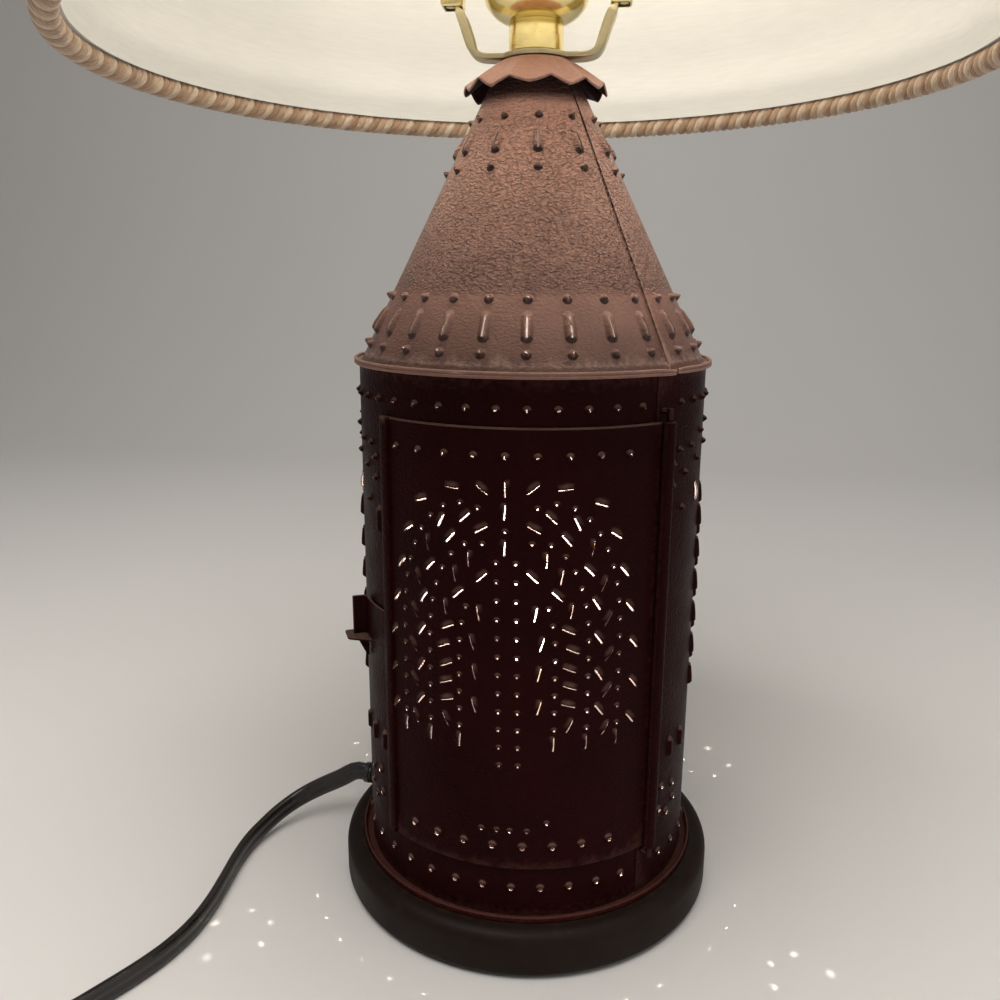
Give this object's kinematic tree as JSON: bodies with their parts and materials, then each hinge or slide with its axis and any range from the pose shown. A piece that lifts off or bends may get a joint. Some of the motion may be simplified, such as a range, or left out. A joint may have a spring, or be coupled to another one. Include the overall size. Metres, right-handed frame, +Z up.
{
  "type": "table lamp",
  "caption": "Table lamp: a punched tin lantern with a hinged door and night light on a round wood base, under a cone roof, harp and lined empire shade.",
  "frame": {"origin": "on the table under the axis of the base, at the felt", "axes": "+Z up along the lamp axis, -Y out through the middle of the lantern door, +X to the hinge side"},
  "size_m": [0.3023, 0.3692, 0.5172],
  "materials": {
    "painted_tin": "oxblood paint, satin, hammered on the roof",
    "pan_paint": "dark red satin paint",
    "dark_wood": "dark stain under satin varnish",
    "green_felt": "felt",
    "polished_brass": "polished",
    "plated_steel": "dull plating",
    "black_phenolic": "moulded",
    "fibre_card": "uncoated board",
    "candle_card": "coated board",
    "frosted_glass": "frosted",
    "shade_linen": "woven cloth on a stiff lining",
    "twisted_rope": "twisted cord trim",
    "cord_vinyl": "dark brown vinyl"
  },
  "bodies": {
    "lamp": {"base_nipple": "plated_steel", "base_nut": "plated_steel", "base_washer": "plated_steel", "bottom_pan": "pan_paint", "brass_neck": "polished_brass", "candle_sleeve": "candle_card", "coil_tie": "fibre_card", "cone_roof": "painted_tin", "cord": "cord_vinyl", "cord_bushing": "cord_vinyl", "cord_coil": "cord_vinyl", "crimped_cap": "painted_tin", "felt_pad": "green_felt", "harp": "polished_brass", "harp_saddle": "plated_steel", "harp_stud": "polished_brass", "hinge_wire": "plated_steel", "lantern_body": "painted_tin", "latch_keeper": "painted_tin", "night_lead": "cord_vinyl", "night_socket": "black_phenolic", "pan_locknut": "plated_steel", "plug_blade_1": "polished_brass", "plug_blade_2": "polished_brass", "plug_body": "cord_vinyl", "riser_lead": "cord_vinyl", "screw_shell": "polished_brass", "socket_cap": "polished_brass", "socket_interior": "black_phenolic", "socket_liner": "fibre_card", "socket_shell": "polished_brass", "terminal_screw_brass": "polished_brass", "terminal_screw_steel": "plated_steel", "top_locknut": "plated_steel", "top_nipple": "plated_steel", "top_washer": "plated_steel", "wood_base": "dark_wood"},
    "door": {"door_panel": "painted_tin", "door_hasp": "painted_tin"},
    "switch_knob": {"switch_knob": "black_phenolic"},
    "sleeve_left": {"harp_sleeve_left": "polished_brass"},
    "sleeve_right": {"harp_sleeve_right": "polished_brass"},
    "shade": {"shade_spider": "plated_steel", "shade_bottom_ring": "plated_steel", "shade_panel": "shade_linen", "shade_trim_bottom": "twisted_rope", "shade_trim_top": "twisted_rope"},
    "finial": {"finial": "polished_brass"},
    "main_bulb": {"main_bulb_cap": "plated_steel", "main_bulb_glass": "frosted_glass"},
    "night_bulb": {"night_bulb_cap": "polished_brass", "night_bulb_glass": "frosted_glass"}
  },
  "joints": [
    {"name": "door_hinge", "type": "hinge", "parent": "lamp", "child": "door", "pos_m": [0.04359, -0.04101, 0.1044], "axis": [0, 0, 1], "range_deg": [0, 120]},
    {"name": "switch_knob_turn", "type": "hinge", "parent": "lamp", "child": "switch_knob", "pos_m": [0, -0.02, 0.31276], "axis": [0, -1, 0], "continuous": true},
    {"name": "sleeve_left_slide", "type": "slide", "parent": "lamp", "child": "sleeve_left", "axis": [0, 0, 1], "range_m": [0, 0.012]},
    {"name": "sleeve_right_slide", "type": "slide", "parent": "lamp", "child": "sleeve_right", "axis": [0, 0, 1], "range_m": [0, 0.012]},
    {"name": "shade_turn", "type": "hinge", "parent": "lamp", "child": "shade", "pos_m": [0, 0, 0.48786], "axis": [0, 0, 1], "continuous": true},
    {"name": "finial_turn", "type": "hinge", "parent": "lamp", "child": "finial", "pos_m": [0, 0, 0.49116], "axis": [0, 0, 1], "continuous": true},
    {"name": "main_bulb_turn", "type": "hinge", "parent": "lamp", "child": "main_bulb", "pos_m": [0, 0, 0.31786], "axis": [0, 0, 1], "continuous": true},
    {"name": "night_bulb_turn", "type": "hinge", "parent": "lamp", "child": "night_bulb", "pos_m": [0, 0, 0.0545], "axis": [0, 0, 1], "continuous": true}
  ]
}
